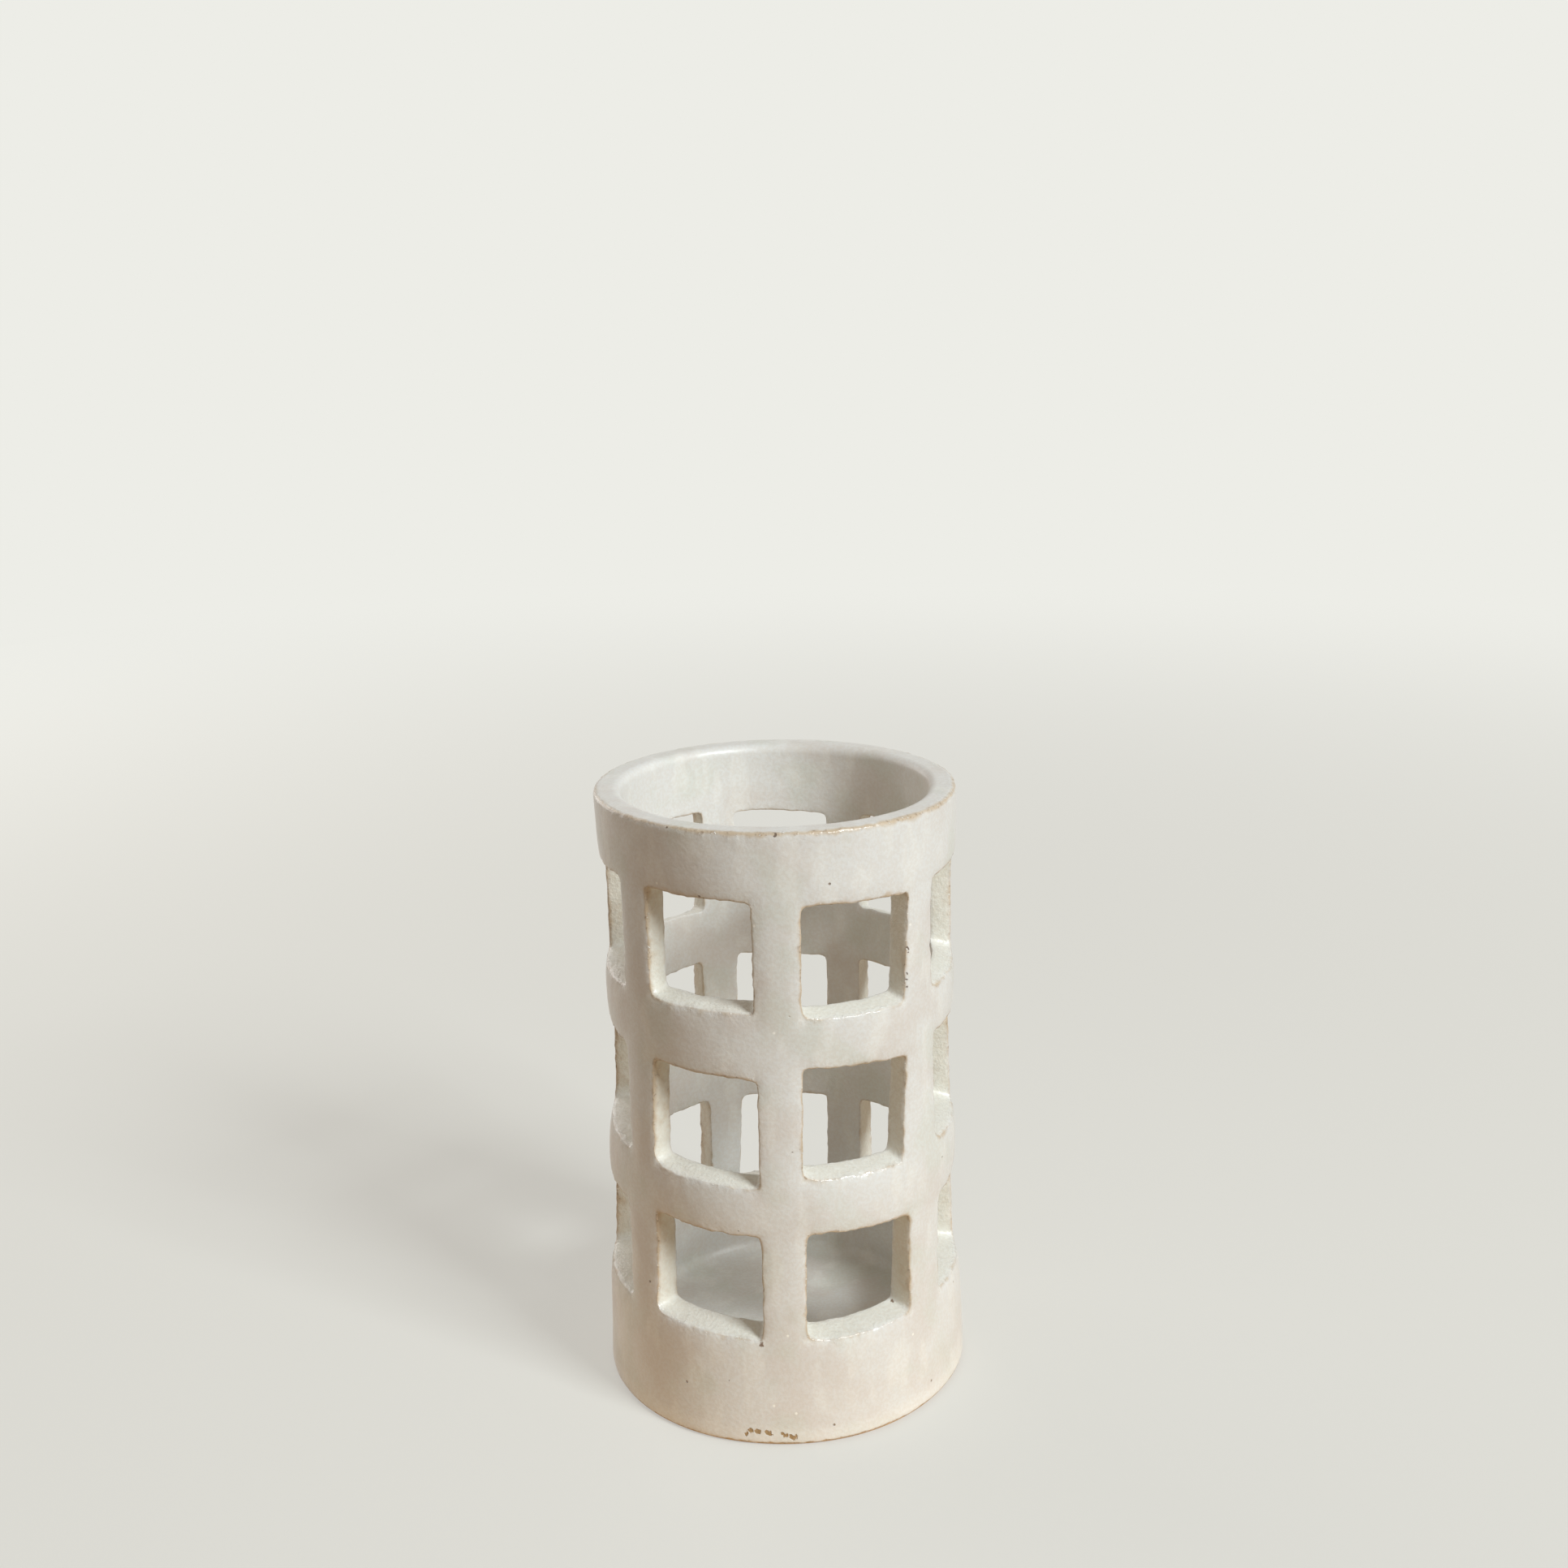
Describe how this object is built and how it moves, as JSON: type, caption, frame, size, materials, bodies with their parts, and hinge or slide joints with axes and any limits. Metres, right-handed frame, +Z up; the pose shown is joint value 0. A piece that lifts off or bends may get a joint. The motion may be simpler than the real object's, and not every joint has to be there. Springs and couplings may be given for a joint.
{
  "type": "wine bottle cage",
  "caption": "Round glazed stoneware cage with a floor and rows of square windows, open at the top, that holds a wine bottle upright on a table.",
  "frame": {"origin": "centre of the foot's underside, on the surface that the cage stands on", "axes": "+Z up the axis, the way the bottle comes out; -Y is the front, where an upright between two windows faces the viewer"},
  "size_m": [0.0998, 0.0998, 0.1666],
  "materials": {
    "glazed_stoneware": "satin warm off-white glaze that breaks to tan on the edges"
  },
  "bodies": {
    "root": {"cage": "glazed_stoneware"}
  },
  "joints": []
}
